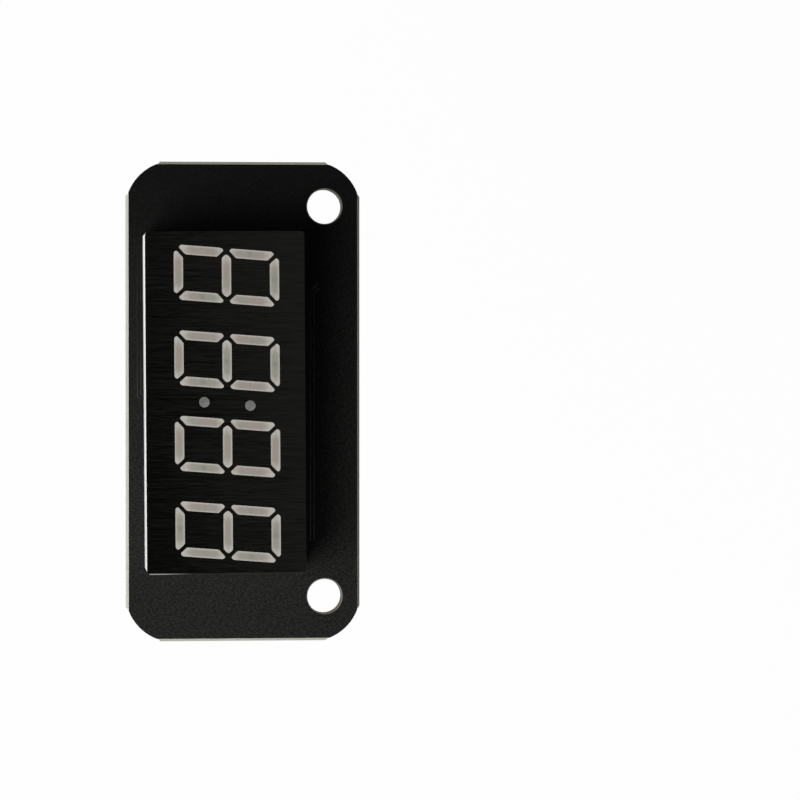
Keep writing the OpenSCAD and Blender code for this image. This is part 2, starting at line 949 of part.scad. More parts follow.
module at_chips(places) {
    on_back()
        for (place = places)
            translate([
                columns_x + (place[0] - 0.5) * column_pitch,
                (place[1] - (chip_row_count - 1) / 2) * row_pitch - row_off,
                0
            ])
                children();
}

module both_ends() {
    for (side = [0, 1])
        mirror([0, side, 0])
            children();
}

// The metal ends stand a little proud of the ceramic between them
module chip_body(h) {
    block([chip_w - 2 * end_proud, chip_l - 2 * chip_end, h - 2 * end_proud], pad_t + end_proud);
}

module chip_ends(h) {
    both_ends()
        translate([0, (chip_l - chip_end) / 2, 0])
            block([chip_w, chip_end, h], pad_t);
}

module chip_fillets(h) {
    both_ends()
        translate([0, chip_l / 2, pad_t])
            across(chip_w)
                fillet((chip_pads_l - chip_l) / 2, h);
}

module resistor_bodies() {
    color([0.1, 0.1, 0.1])
        at_chips(resistor_places)
            chip_body(resistor_h);
}

module resistor_ends() {
    color([0.78, 0.78, 0.78])
        at_chips(resistor_places)
            chip_ends(resistor_h);
}

module capacitor_bodies() {
    color([0.76, 0.64, 0.5])
        at_chips(capacitor_places)
            chip_body(capacitor_h);
}

module capacitor_ends() {
    color([0.78, 0.78, 0.78])
        at_chips(capacitor_places)
            chip_ends(capacitor_h);
}

module power_light_base() {
    color([0.92, 0.92, 0.9])
        at_chips(light_places)
            chip_body(light_base_h);
}

module power_light_ends() {
    color([0.8, 0.75, 0.6])
        at_chips(light_places)
            chip_ends(light_base_h);
}

// A clear block with tapered ends on the light's base
module power_light_lens() {
    reach = chip_l / 2 - chip_end + lens_lap;
    rise = light_h - light_base_h;
    color([0.95, 0.95, 0.9])
        at_chips(light_places)
            translate([0, 0, pad_t + light_base_h])
                across(chip_w)
                    polygon([
                        [-reach, 0],
                        [reach, 0],
                        [reach - lens_lap, rise],
                        [lens_lap - reach, rise]
                    ]);
}

module chip_pads() {
    inner = chip_l / 2 - chip_end;
    pad_l = chip_pads_l / 2 - inner;
    color([0.75, 0.72, 0.62])
        at_chips(concat(resistor_places, capacitor_places, light_places))
            both_ends()
                translate([0, inner + pad_l / 2, 0])
                    block([chip_pad_w, pad_l, pad_t]);
}

module chip_solder() {
    color([0.72, 0.72, 0.72]) {
        at_chips(resistor_places)
            chip_fillets(resistor_h);
        at_chips(capacitor_places)
            chip_fillets(capacitor_h);
        at_chips(light_places)
            chip_fillets(light_base_h);
    }
}

circuit_board();
mounting_pads();
pin_barrels();
driver_pads();
socket_pads();
chip_pads();
marker_ring();
display_housing();
display_film();
digit_bars(0);  // digit_1_bars
digit_bars(1);  // digit_2_bars
digit_bars(2);  // digit_3_bars
digit_bars(3);  // digit_4_bars
colon_dots();
inner_board();
light_chips();
cast_resin();
display_pins();
pin_solder();
driver_body();
driver_leads();
driver_solder();
socket_housing();
socket_pins();
socket_anchors();
socket_solder();
resistor_bodies();
resistor_ends();
capacitor_bodies();
capacitor_ends();
power_light_base();
power_light_lens();
power_light_ends();
chip_solder();
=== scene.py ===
# %% [markdown]
# This lesson dresses a small electronic part: a clock display on a circuit board. The front is a
# black face with light bars, and the back carries a chip, a socket, small chips and solder.
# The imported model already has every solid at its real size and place, so the lesson adds what a
# solid model leaves out: finishes, white print, and the relief of the copper under the black mask.
# Everything is in metres in the model's own frame, and a length in millimetres is multiplied by MM.

# %% Load the frame
import math

import bmesh
import bpy
from mathutils import Matrix, Vector


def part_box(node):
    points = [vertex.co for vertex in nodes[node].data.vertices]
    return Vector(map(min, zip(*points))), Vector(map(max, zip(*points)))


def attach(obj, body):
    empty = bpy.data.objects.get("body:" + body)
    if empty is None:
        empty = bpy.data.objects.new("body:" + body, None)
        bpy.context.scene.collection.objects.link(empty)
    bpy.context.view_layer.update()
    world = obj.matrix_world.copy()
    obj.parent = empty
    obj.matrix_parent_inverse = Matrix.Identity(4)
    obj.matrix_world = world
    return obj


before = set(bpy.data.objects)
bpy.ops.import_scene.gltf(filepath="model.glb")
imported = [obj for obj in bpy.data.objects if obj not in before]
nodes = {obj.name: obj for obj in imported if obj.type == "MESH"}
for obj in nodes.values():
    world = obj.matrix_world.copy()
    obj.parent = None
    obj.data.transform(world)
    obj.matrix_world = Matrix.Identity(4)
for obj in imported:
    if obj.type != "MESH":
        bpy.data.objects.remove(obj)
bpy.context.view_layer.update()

MM = 0.001

# %% [markdown]
# The photograph looks straight down on the face, from a point a little left of the module, so a
# sliver of the display's pale left wall shows. The eye stands there, and it looks at the point of
# the board's plane that lies in the middle of the picture. That needs no lens shift.

# %% Camera
PICTURE_PX = 800
BOARD_PX = (242.5, 401.4)   # where the board's middle lies in the picture
MM_PER_PX = 0.08966         # scale of the picture at the board's front face
EYE_MM = (-25.6, 4.4, 350)
CLIP = (0.01, 10)           # the nearest and the furthest that the camera sees, in metres

def add(name, data):
    """Puts an object into the scene."""
    made = bpy.data.objects.new(name, data)
    bpy.context.scene.collection.objects.link(made)
    return made

board_low, board_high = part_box("circuit_board")
board_mid = Vector(
    ((board_low.x + board_high.x) / 2, (board_low.y + board_high.y) / 2, board_high.z)
)
eye = Vector(EYE_MM) * MM
right_px = PICTURE_PX / 2 - BOARD_PX[0]
down_px = PICTURE_PX / 2 - BOARD_PX[1]
aim = board_mid + Vector((right_px, -down_px, 0)) * MM_PER_PX * MM
look = (aim - eye).normalized()

camera_data = bpy.data.cameras.new("camera")
camera = add("camera", camera_data)
bpy.context.scene.camera = camera
camera.location = eye
camera.rotation_mode = "QUATERNION"
right = look.cross(Vector((0, 1, 0))).normalized()
up = right.cross(look)
camera.rotation_quaternion = Matrix((right, up, -look)).transposed().to_quaternion()
depth = (board_mid - eye).dot(look)
camera_data.lens = camera_data.sensor_width * depth / (PICTURE_PX * MM_PER_PX * MM)
camera_data.clip_start, camera_data.clip_end = CLIP
print("lens in mm:", round(camera_data.lens, 1))

# %% [markdown]
# Shader maths reads best as arithmetic. The class Wire wraps one output of a node, and each
# operator on it adds a Math node, so a recipe is a few lines of sums. Numbers alone are worked out
# in Python, and colours go through a Mix node, because a Math node would turn them grey.

# %% A wire between nodes
class Wire:
    """An output of a node. Sums, products and comparisons of wires add Math nodes."""

    def __init__(self, finish, socket):
        self.finish = finish
        self.socket = socket

    def maths(self, operation, first, second=0.0):
        return self.finish.node("Math", {"operation": operation}, {0: first, 1: second})

    def __add__(self, other):
        return self.maths("ADD", self, other)

    def __sub__(self, other):
        return self.maths("SUBTRACT", self, other)

    def __rsub__(self, other):
        return self.maths("SUBTRACT", other, self)

    def __mul__(self, other):
        return self.maths("MULTIPLY", self, other)

    def __truediv__(self, other):
        return self.maths("DIVIDE", self, other)

    def __gt__(self, other):
        return self.maths("GREATER_THAN", self, other)

    def __lt__(self, other):
        return self.maths("LESS_THAN", self, other)

    def __abs__(self):
        return self.maths("ABSOLUTE", self)

    def least(self, other):
        return self.maths("MINIMUM", self, other)

    def most(self, other):
        return self.maths("MAXIMUM", self, other)

    def wave(self):
        return self.maths("SINE", self)

    def root(self):
        return self.maths("SQRT", self)

    def wrap(self, size):
        """The value folded into the range from 0 to size, as a pattern that repeats needs."""
        return self.maths("FLOORED_MODULO", self, size)

    def fade(self, low, high):
        """0 below low, 1 above high, and smooth between them."""
        return self.finish.node(
            "MapRange",
            {"interpolation_type": "SMOOTHSTEP"},
            {"Value": self, "From Min": low, "From Max": high},
        )

    def between(self, rise, fall):
        """1 between two steps and 0 outside, each step given by where it begins and ends."""
        return self.fade(*rise) * (1 - self.fade(*fall))

    __radd__ = __add__
    __rmul__ = __mul__

# %% Distances and turns
def far(x, y, spot=(0.0, 0.0)):
    """How far a point lies from a spot."""
    over, down = x - spot[0], y - spot[1]
    return (over * over + down * down).root()

def turned_back(x, y, angle):
    """Where a point lies along and across a pattern that is turned by an angle."""
    along = x * math.cos(angle) + y * math.sin(angle)
    return along, y * math.cos(angle) - x * math.sin(angle)

# %% [markdown]
# The class Finish is one material. Its method node() adds any node that isn't maths: its type,
# then its settings, then what goes into its sockets. Patterns are measured in millimetres on the
# part, from the Object output of Texture Coordinate, so no piece has to be unwrapped.

# %% A finish
class Finish:
    """A material, with the methods that its recipe is written in."""

    def __init__(self, name, tree=None, **constants):
        if tree is None:
            self.material = bpy.data.materials.new(name)
            self.material.use_nodes = True
            tree = self.material.node_tree
        self.tree = tree
        self.shader = tree.nodes.get("Principled BSDF")
        self.paint(**constants)

    def paint(self, **inputs):
        """Feeds the shader's inputs, by their names with _ for a space."""
        for label, value in inputs.items():
            self.feed(self.shader.inputs[label.replace("_", " ")], value)
        return self

    def feed(self, socket, value):
        if isinstance(value, Wire):
            self.tree.links.new(value.socket, socket)
        elif socket.type == "RGBA":
            socket.default_value = (*value, 1.0)
        else:
            socket.default_value = value

    def node(self, kind, settings=None, sockets=None, out=0):
        made = self.tree.nodes.new("ShaderNode" + kind)
        for key, value in (settings or {}).items():
            setattr(made, key, value)
        for key, value in (sockets or {}).items():
            self.feed(made.inputs[key], value)
        return Wire(self, made.outputs[out])

    def ray(self, kind):
        """1 for a kind of ray and 0 for the others."""
        return self.node("LightPath", out=f"Is {kind} Ray")

    def place(self):
        """Where a point lies, in millimetres."""
        metres = self.node("TexCoord", out="Object")
        return self.node("VectorMath", {"operation": "SCALE"}, {0: metres, "Scale": 1 / MM})

    def axes(self, vector):
        return [self.node("SeparateXYZ", {}, {0: vector}, out=i) for i in range(3)]

    def xy(self):
        """Where a point lies on the board, in millimetres."""
        return self.axes(self.place())[:2]

    def noise(self, size, detail=2.0, roughness=0.5):
        """Cloudy noise from 0 to 1. The size is in millimetres, one number or three."""
        sizes = (size, size, size) if isinstance(size, (int, float)) else size
        cells = self.node("VectorMath", {"operation": "DIVIDE"}, {0: self.place(), 1: sizes})
        return self.node(
            "TexNoise",
            {},
            {"Vector": cells, "Scale": 1.0, "Detail": detail, "Roughness": roughness},
        )

    def blend(self, low, high, share):
        """A colour between two colours."""
        return self.node("Mix", {"data_type": "RGBA"}, {"Factor": share, 6: low, 7: high}, out=2)

    def bump(self, height, depth_mm, strength=1.0):
        """A normal from a height of 0 to 1, where 1 is depth_mm high."""
        return self.node(
            "Bump", {}, {"Height": height, "Strength": strength, "Distance": depth_mm * MM}
        )

# %% A finish on a node
def put_on(finish, *names):
    """Gives CAD nodes a finish, in their own material slots."""
    for name in names:
        for holder in nodes[name].material_slots:
            holder.material = finish.material
    print(finish.material.name, "on", ", ".join(names))

# %% [markdown]
# The board is glass laminate under a satin black mask, and only its two faces are masked. The mask
# dries with fine slanted wrinkles, like crepe. Its front is painted greyer than its back, and
# lighter
# towards its lower end, near the lamp: both are painted light. It ends short of a hole, where it
# leaves a bare, rounded lip. A picture of all this would have to be unwrapped, so the tone is
# worked out from noise and from where a point lies.

# %% Board: the masked faces
HOLE_R = 1.55
HOLE_Y = 17.5
LIP_W = 0.14
LIP_DEPTH = 0.12
MASK_GRAIN = 0.006          # a bump of 1 is this deep, and the other depths are shares of it
CREPE_TURN = math.radians(-32)
CREPE_L = 0.30
CREPE_W = 0.14

def from_hole(x, y):
    """How far a point lies from the axis of the nearest mounting hole."""
    return far(x, abs(y), (0.0, HOLE_Y))

def crepe_noise(finish, x, y, z):
    """Noise in long cells that lie on a slant."""
    slant, rise = turned_back(x, y, CREPE_TURN)
    cells = finish.node("CombineXYZ", {}, {0: slant / CREPE_L, 1: rise / CREPE_W, 2: z})
    return finish.node("TexNoise", {}, {"Vector": cells, "Scale": 1.0, "Detail": 2.0})

def mask_tone(finish, crepe, grain, y, facing):
    """Painted light: the front lightens, and its wrinkles show most, towards its lower end; the
    back is painted all but black.
    """
    clouds = finish.noise(1.6, 3.0)
    mottle = (clouds * 0.4 + grain * 0.6).fade(0.32, 0.68)
    # Painted light: the front's tone lightens towards its lower end (-Y), near the lamp.
    wrinkles_and_painted_light = crepe.fade(0.34, 0.68) * (0.55 - y * 0.014) + clouds * 0.2 - y * 0.009
    front = finish.blend((0.0040, 0.0040, 0.0038), (0.0225, 0.0223, 0.0212), wrinkles_and_painted_light)
    # Painted shade: the back is painted all but black, far darker than the front.
    back = finish.blend((0.0003, 0.0003, 0.0003), (0.0018, 0.0018, 0.0018), mottle)
    return finish.blend(back, front, facing > 0)

# %% [markdown]
# The long edges were scored and snapped off a panel, so they are pale and rough, with the glass
# layers showing. The walls of the drilled holes are browner. The direction that a point faces
# tells the mask from these raw edges, so one material serves the whole board.

# %% Board: the raw edges
FLAT = 0.97                 # a face points at least this much straight up or down
WALL_REACH = 0.3            # how far round a hole's wall the drilled look holds
LAYERS = 38                 # radians of the layers' wave in a millimetre

def edge_tone(finish, fibre, in_hole):
    snapped = finish.blend((0.30, 0.30, 0.24), (0.66, 0.66, 0.57), fibre)
    drilled = finish.blend((0.07, 0.055, 0.035), (0.23, 0.19, 0.13), fibre)
    return finish.blend(snapped, drilled, in_hole)

# %% Board: its finish
def board_finish():
    finish = Finish("board_mask", Specular_IOR_Level=0.06)
    facing = finish.axes(finish.node("NewGeometry", out="Normal"))[2]
    x, y, z = finish.axes(finish.place())
    raw = 1 - (abs(facing) > FLAT)
    hole_r = from_hole(x, y)
    lip = 1 - hole_r.fade(HOLE_R, HOLE_R + LIP_W)
    grain = finish.noise(0.24, 2.0, 0.6)
    speck = finish.noise(0.05, 1.0)
    crepe = crepe_noise(finish, x, y, z)
    mask = mask_tone(finish, crepe, grain, y, facing)
    shown = finish.blend(mask, (0.2, 0.19, 0.16), lip.fade(0.1, 0.6))
    layers = (z * LAYERS + finish.noise(0.5) * 4).wave() * 0.5 + 0.5
    fibre = layers * 0.55 + finish.noise((0.07, 0.07, 0.3)) * 0.6
    edge = edge_tone(finish, fibre, hole_r < HOLE_R + WALL_REACH)
    faced = (crepe * 1.8 + speck * 0.2 - lip * (LIP_DEPTH / MASK_GRAIN)) * (1 - raw)
    height = faced + (fibre + speck) * raw * 4
    return finish.paint(
        Base_Color=finish.blend(shown, edge, raw),
        Roughness=0.42 + grain * 0.2 + raw * 0.3,
        Normal=finish.bump(height, MASK_GRAIN, 0.8),
    )

put_on(board_finish(), "circuit_board")

# %% [markdown]
# Pads, rings and plated holes are copper under a skin of hot tin, and the solder is the same
# metal, set in drops. Tin mirrors its room, and the real room was dark, so its tone is painted
# reflection: dark and glossy in one place and grey and matt in the next. So each recipe runs from a
# dark tone to a light one with a soft noise, and keeps the surface smooth, so that a lamp still
# draws a sharp spark.

# %% Tin on pads, and solder
def tin_finish(name, dark, light, roughness, swell_mm, swell_depth_mm):
    finish = Finish(name, Metallic=1.0)
    swell = finish.noise(swell_mm, 2.0, 0.4)
    sheen = finish.noise(swell_mm * 0.6, 3.0, 0.6)
    # Painted reflection: the tone between dark and light is spread by a soft noise.
    return finish.paint(
        Base_Color=finish.blend(dark, light, sheen.fade(0.36, 0.66)),
        Roughness=roughness + sheen * 0.14,
        Normal=finish.bump(swell, swell_depth_mm, 1.0),
    )

# Painted reflection: the dark tones stand for tin that mirrors a dark room.
put_on(
    tin_finish("tinned_copper", (0.012, 0.012, 0.012), (0.16, 0.16, 0.155), 0.2, 0.9, 0.05),
    "driver_pads", "socket_pads",
)
put_on(
    tin_finish("solder", (0.03, 0.03, 0.029), (0.34, 0.34, 0.33), 0.12, 0.35, 0.03),
    "socket_solder", "chip_solder", "chip_pads",
)

# %% [markdown]
# Each of the display's twelve pins ends in a cone of solder. A cone is painted dark, as painted
# reflection of a dark room, with a painted highlight as one lighter patch and another as a collar
# at its tip, and the cut wire in it has a painted highlight too. Seen from the back with the socket
# up, the patch is low on the left. Twelve painted spots would be a long list, so the recipe folds
# the two rows of pins onto one pin, and works with where a point lies beside the nearest pin.

# %% Places beside a pin
PIN_X = (-14.28, -4.12)
PIN_PITCH = 2.54
PIN_Y = [-6.35 + PIN_PITCH * i for i in range(6)]

def beside_pin(finish):
    """Where a point lies beside the axis of the nearest pin."""
    x, y = finish.xy()
    row = (y - PIN_Y[0] + PIN_PITCH / 2).wrap(PIN_PITCH)
    over = x - (PIN_X[0] + PIN_X[1]) / 2
    side = (over > 0) * 2 - 1
    return over - side * ((PIN_X[1] - PIN_X[0]) / 2), row - PIN_PITCH / 2

# %% Solder cones
HIGHLIGHT_PATCH_AT = (-0.34, 0.3)

def cone_finish():
    finish = Finish("pin_solder", Metallic=1.0)
    over, down = beside_pin(finish)
    sheen = finish.noise(0.3, 3.0, 0.6)
    swell = finish.noise(0.4, 2.0, 0.4)
    # Painted highlight: a lighter, rougher patch low on the left of each cone.
    highlight_patch = (1 - far(over, down, HIGHLIGHT_PATCH_AT).fade(0.1, 0.5)) * sheen.fade(0.3, 0.55)
    # Painted highlight: a light collar at the cone's tip.
    collar_highlight = (1 - far(over, down).fade(0.26, 0.36)) * sheen.fade(0.4, 0.7)
    # Painted reflection: the flank's dark tone.
    flank = finish.blend((0.010, 0.010, 0.010), (0.085, 0.085, 0.082), sheen.fade(0.45, 0.75))
    light = (highlight_patch * 0.72).most(collar_highlight * 0.55)
    return finish.paint(
        Base_Color=finish.blend(flank, (0.8, 0.8, 0.78), light),
        Roughness=0.14 + sheen * 0.14 + highlight_patch * 0.45,
        Normal=finish.bump(swell, 0.03, 1.0),
    )

put_on(cone_finish(), "pin_solder", "pin_barrels")

# %% Cut pin ends
TIP_HIGHLIGHT_AT = (0.06, -0.05)

def wire_finish():
    """A cut pin has a painted highlight near the middle of its end, and painted dark reflection
    round it.
    """
    finish = Finish("pin_wire", Metallic=1.0)
    from_tip_highlight = far(*beside_pin(finish), TIP_HIGHLIGHT_AT)
    grain = finish.noise(0.12, 2.0, 0.6)
    # Painted highlight at the end's middle, and painted dark reflection round it.
    return finish.paint(
        Base_Color=finish.blend(
            (0.98, 0.97, 0.95), (0.10, 0.10, 0.097), from_tip_highlight.fade(0.08, 0.24)
        ),
        Roughness=0.26 + grain * 0.16,
        Normal=finish.bump(grain, 0.01, 0.7),
    )

put_on(wire_finish(), "display_pins")

# %% [markdown]
# The solder on the driver chip's leads has a painted highlight as a bright bead past each foot, and
# painted dark reflection round the foot. The beads of the row near the board's end face the lamp,
# so they are painted the brighter ones. The real ones mirror a dark room, which a white studio
# can't give, so the tone itself is painted by how far a point lies from the chip's middle line.

# %% Solder on the driver's leads
DRIVER_Y = 14.0
BEAD_RISE = (4.75, 4.95)    # distances from the chip's middle line
BEAD_FALL = (5.15, 5.4)

def end_row(y, other):
    """Painted light: 1 for the row of leads near the board's end, which faces the lamp, and less
    for the other row.
    """
    return (y > DRIVER_Y) * (1 - other) + other

def beads_finish():
    finish = Finish("driver_solder", Metallic=1.0)
    y = finish.xy()[1]
    sheen = finish.noise(0.28, 3.0, 0.6)
    swell = finish.noise(0.35, 2.0, 0.4)
    # Painted highlight: a bright bead past each foot, brighter on the row that faces the lamp.
    bead_highlight = abs(y - DRIVER_Y).between(BEAD_RISE, BEAD_FALL) * end_row(y, 0.35)
    # Painted reflection: the dark tone round each foot.
    tone = finish.blend((0.012, 0.012, 0.012), (0.2, 0.2, 0.195), sheen.fade(0.42, 0.7))
    return finish.paint(
        Base_Color=finish.blend(tone, (0.85, 0.85, 0.83), bead_highlight * sheen.fade(0.34, 0.5)),
        Roughness=0.14 + sheen * 0.12,
        Normal=finish.bump(swell, 0.03, 1.0),
    )

put_on(beads_finish(), "driver_solder")

# %% [markdown]
# Three flat rings are tinned, and their tone is painted reflection. The one by the driver chip is
# painted a brushed grey, and the two by the socket dark and cloudy, with painted highlights on
# their
# rims. One recipe serves all three: it measures from the nearest hole, or from the small ring's
# middle, to find the rims.

# %% Rings
RING_OUT = 2.75             # radii of the rings round the mounting holes, and of the small ring
SPOT_OUT = 1.45
SPOT_IN = 0.93
SPOT_RING = (0.15, -12.8)   # middle of the small ring
RIM = 0.09

def rim_light(x, y, hole_r):
    """1 on the rims that get a painted highlight: two on the small ring, and two on each of the
    others.
    """
    spot_r = far(x, y, SPOT_RING)
    is_spot = spot_r < SPOT_OUT + RIM
    spot_rim = spot_r.fade(SPOT_OUT - RIM, SPOT_OUT) + 1 - spot_r.fade(SPOT_IN, SPOT_IN + RIM)
    inner_rim = 0.6 - hole_r.fade(HOLE_R + 0.02, HOLE_R + RIM) * 0.6
    hole_rim = hole_r.fade(RING_OUT - RIM, RING_OUT).most(inner_rim)
    return is_spot * spot_rim + (1 - is_spot) * hole_rim

def ring_finish():
    finish = Finish("ring_tin", Metallic=1.0)
    x, y = finish.xy()
    hole_r = from_hole(x, y)
    swirl = finish.noise((1.3, 0.9, 1.0), 2.0, 0.5)
    cloud = finish.noise((0.7, 0.45, 0.5), 3.0, 0.6)
    outward = hole_r.fade(HOLE_R + 0.15, 2.3) * 0.7 + 0.3
    soft = (swirl.fade(0.36, 0.68) * 0.7 + cloud.fade(0.35, 0.7) * 0.3) * outward
    # Painted reflection: dark and cloudy on the socket's rings.
    dark = finish.blend((0.007, 0.008, 0.009), (0.115, 0.12, 0.135), soft)
    mottled = (cloud * 0.65 + swirl * 0.35).fade(0.3, 0.68)
    brushed = mottled * (hole_r.fade(HOLE_R, HOLE_R + 0.45) * 0.6 + 0.4)
    # Painted reflection: grey on the driver's ring.
    grey = finish.blend((0.23, 0.235, 0.232), (0.56, 0.56, 0.548), brushed)
    # Painted highlight on the rims.
    rim = rim_light(x, y, hole_r) * swirl.fade(0.3, 0.6) * 0.75
    return finish.paint(
        Base_Color=finish.blend(finish.blend(dark, grey, y > 0), (0.55, 0.55, 0.53), rim),
        Roughness=0.22 + swirl * 0.2,
        Normal=finish.bump(cloud, 0.04, 1.0),
    )

put_on(ring_finish(), "mounting_pads", "marker_ring")

# %% [markdown]
# The display is a white moulding with a thin black film on its face. The film is brushed across
# the display, so fine lines run along X. Each line is a little lighter or darker, and a little
# smoother or rougher, than the next. The film is also painted lighter towards the right and the
# top, as painted sheen, and a painted highlight runs along its edge at the lower left.

# %% White moulding
def moulding_finish():
    finish = Finish("white_moulding")
    cloud = finish.noise(2.5, 2.0)
    pit = finish.noise(0.08, 2.0)
    return finish.paint(
        Base_Color=finish.blend((0.72, 0.72, 0.69), (0.84, 0.84, 0.81), cloud),
        Roughness=0.38 + pit * 0.14,
        Normal=finish.bump(pit, 0.004, 0.6),
    )

put_on(moulding_finish(), "display_housing")

# %% Black film
DISPLAY_X = -9.2
DISPLAY_TURN = math.radians(0.35)
DISPLAY_HALF_L = 15.05
EDGE_HIGHLIGHT_END = (-15.6, -11.8)   # the painted highlight on the edge fades out between these places along X

def film_finish():
    finish = Finish("black_film", Specular_IOR_Level=0.25)
    x, y = finish.xy()
    lines = finish.noise((1.6, 0.085, 1.0), 2.0, 0.6)
    long_lines = finish.noise((7.0, 0.2, 1.0), 2.0, 0.5)
    # Painted sheen: the film lightens towards the right and the top.
    sheen = (x * 0.75 + y * 0.15 + 9) * 0.025
    share = (lines * 0.6 + long_lines * 0.4 + sheen).fade(0.28, 0.78)
    black = finish.blend((0.0006, 0.0006, 0.0005), (0.0112, 0.0111, 0.0100), share)
    low_edge = (x - DISPLAY_X) * math.sin(DISPLAY_TURN) - DISPLAY_HALF_L
    # Painted highlight along the film's edge at the lower left.
    edge_highlight = (1 - (y - low_edge).fade(0.05, 0.1)) * (1 - x.fade(*EDGE_HIGHLIGHT_END) * 0.95)
    return finish.paint(
        Base_Color=finish.blend(black, (0.42, 0.42, 0.40), edge_highlight),
        Roughness=0.16 + lines * 0.08,
        Normal=finish.bump(lines, 0.0025, 0.6),
    )

put_on(film_finish(), "display_film")

# %% [markdown]
# Unlit bars look grey, because clear resin with a little white powder fills a white well. The
# middle of a bar is darker, its rims and pointed ends are lighter, and the colour drifts from
# warm to green from bar to bar. The recipe finds the rims from the digits' own layout: it undoes
# the display's turn and the digits' slant, folds the four digits onto one, and measures how far a
# point lies from the nearest middle line of a bar.

# %% Light bars: where a point lies on a digit
DIGIT_PITCH = 7.5
DIGITS_OVER = 0.13          # the row of digits stands a little off the display's middle
DIGITS_DOWN = 0.12
DIGIT_H = 8.43
DIGIT_W = 4.02
BAR_T = 0.82
SLANT = math.radians(4.6)

def on_digit(x, y):
    """Where a point lies up a digit, and how far it is to either side of it."""
    up_display, over_display = turned_back(x - DISPLAY_X, y, DISPLAY_TURN)
    up_digit = DIGITS_OVER - up_display
    across = over_display + DIGITS_DOWN - up_digit * math.tan(SLANT)
    folded = (across + 2 * DIGIT_PITCH).wrap(DIGIT_PITCH) - DIGIT_PITCH / 2
    return up_digit, abs(folded)

# %% Light bars: their finish
def bar_finish():
    finish = Finish("bar_resin")
    up_digit, folded = on_digit(*finish.xy())
    flat_bars = abs(up_digit).least(abs(abs(up_digit) - DIGIT_H / 2))
    side_bars = abs(folded - DIGIT_W / 2)
    rim = flat_bars.least(side_bars).fade(BAR_T * 0.26, BAR_T * 0.46)
    tip = 1 - abs(flat_bars - side_bars).fade(0.1, 1.1)
    pale = (rim * 0.8).most(tip * 0.9)
    flat_spot = far(flat_bars, folded)
    side_spot = far(side_bars, abs(up_digit), (0.0, DIGIT_H / 4))
    spot = 1 - flat_spot.least(side_spot).fade(0.05, 0.42)
    drift = finish.noise(2.6, 1.0)
    streak = finish.noise((0.11, 0.9, 1.0), 2.0)
    core = finish.blend((0.362, 0.317, 0.283), (0.331, 0.328, 0.281), drift.fade(0.42, 0.66))
    rimmed = finish.blend(core, (0.575, 0.55, 0.5), pale)
    shaded = finish.blend(rimmed, (0.2, 0.2, 0.18), spot * drift.fade(0.5, 0.62) * 0.45)
    streaked = finish.blend(shaded, (0.23, 0.205, 0.185), streak.fade(0.45, 0.85) * 0.4)
    return finish.paint(
        Base_Color=streaked,
        Roughness=0.3 + streak * 0.15,
        Normal=finish.bump(streak, 0.003, 0.5),
    )

put_on(bar_finish(), "digit_1_bars", "digit_2_bars", "digit_3_bars", "digit_4_bars")

# %% Colon dots
def dot_finish():
    finish = Finish("dot_resin")
    cloud = finish.noise(0.5, 2.0)
    return finish.paint(
        Base_Color=finish.blend((0.152, 0.152, 0.143), (0.25, 0.247, 0.233), cloud.fade(0.3, 0.7)),
        Roughness=0.35 + cloud * 0.1,
        Normal=finish.bump(cloud, 0.006, 0.4),
    )

put_on(dot_finish(), "colon_dots")

# %% [markdown]
# Plastics and ceramics differ in how their colour clouds and how deep their texture is. One
# recipe with those values serves the ones that have no pattern of their own. Ivory plastic lets a
# little light in, so it also gets some scatter under its surface.

# %% Plastics and ceramics
def cloudy_finish(
    name, dark, light, roughness, cloud_mm=1.0, grain_mm=0.06, grain_depth_mm=0.004, **constants
):
    finish = Finish(name, **constants)
    cloud = finish.noise(cloud_mm, 3.0)
    grain = finish.noise(grain_mm, 2.0, 0.6)
    return finish.paint(
        Base_Color=finish.blend(dark, light, (cloud * 0.6 + grain * 0.4).fade(0.3, 0.7)),
        Roughness=roughness - 0.06 + grain * 0.12,
        Normal=finish.bump(grain, grain_depth_mm, 0.8),
    )

put_on(
    cloudy_finish("inner_laminate", (0.30, 0.31, 0.2), (0.42, 0.43, 0.3), 0.55), "inner_board"
)
put_on(
    cloudy_finish("light_chip", (0.5, 0.08, 0.05), (0.62, 0.12, 0.08), 0.35, 0.3), "light_chips"
)
put_on(
    cloudy_finish("cast_resin", (0.62, 0.62, 0.56), (0.74, 0.74, 0.68), 0.25, 2.0, 0.4, 0.01),
    "cast_resin",
)
put_on(
    cloudy_finish(
        "ivory_plastic", (0.76, 0.66, 0.51), (0.86, 0.77, 0.62), 0.42, 2.2, 0.09, 0.003,
        Subsurface_Weight=0.15, Subsurface_Radius=(1.0, 0.7, 0.45), Subsurface_Scale=0.4 * MM,
    ),
    "socket_housing",
)

# %% Small chips
put_on(
    cloudy_finish(
        "resistor_coat", (0.010, 0.010, 0.011), (0.022, 0.022, 0.023), 0.3, 0.4, 0.05
    ),
    "resistor_bodies",
)
put_on(
    cloudy_finish(
        "capacitor_ceramic", (0.38, 0.265, 0.155), (0.50, 0.375, 0.245), 0.45, 0.35, 0.05
    ),
    "capacitor_bodies",
)
put_on(
    cloudy_finish("light_base", (0.62, 0.61, 0.55), (0.74, 0.73, 0.67), 0.5, 0.5),
    "power_light_base",
)
put_on(
    cloudy_finish("light_lens", (0.68, 0.70, 0.64), (0.92, 0.92, 0.90), 0.22, 0.35, 0.1, 0.003),
    "power_light_lens",
)

# %% [markdown]
# The driver chip's body is moulded in black epoxy with a fine matt grain. A round dimple marks its
# first lead. The dimple's pit is painted black as painted shade, with a painted highlight on its
# thin lip. A dark plastic still mirrors a white studio, so the pit is made metallic with a black
# colour, and then it mirrors nothing.

# %% Driver chip's body
DIMPLE = (-14.35, 16.45)
DIMPLE_R = 0.45

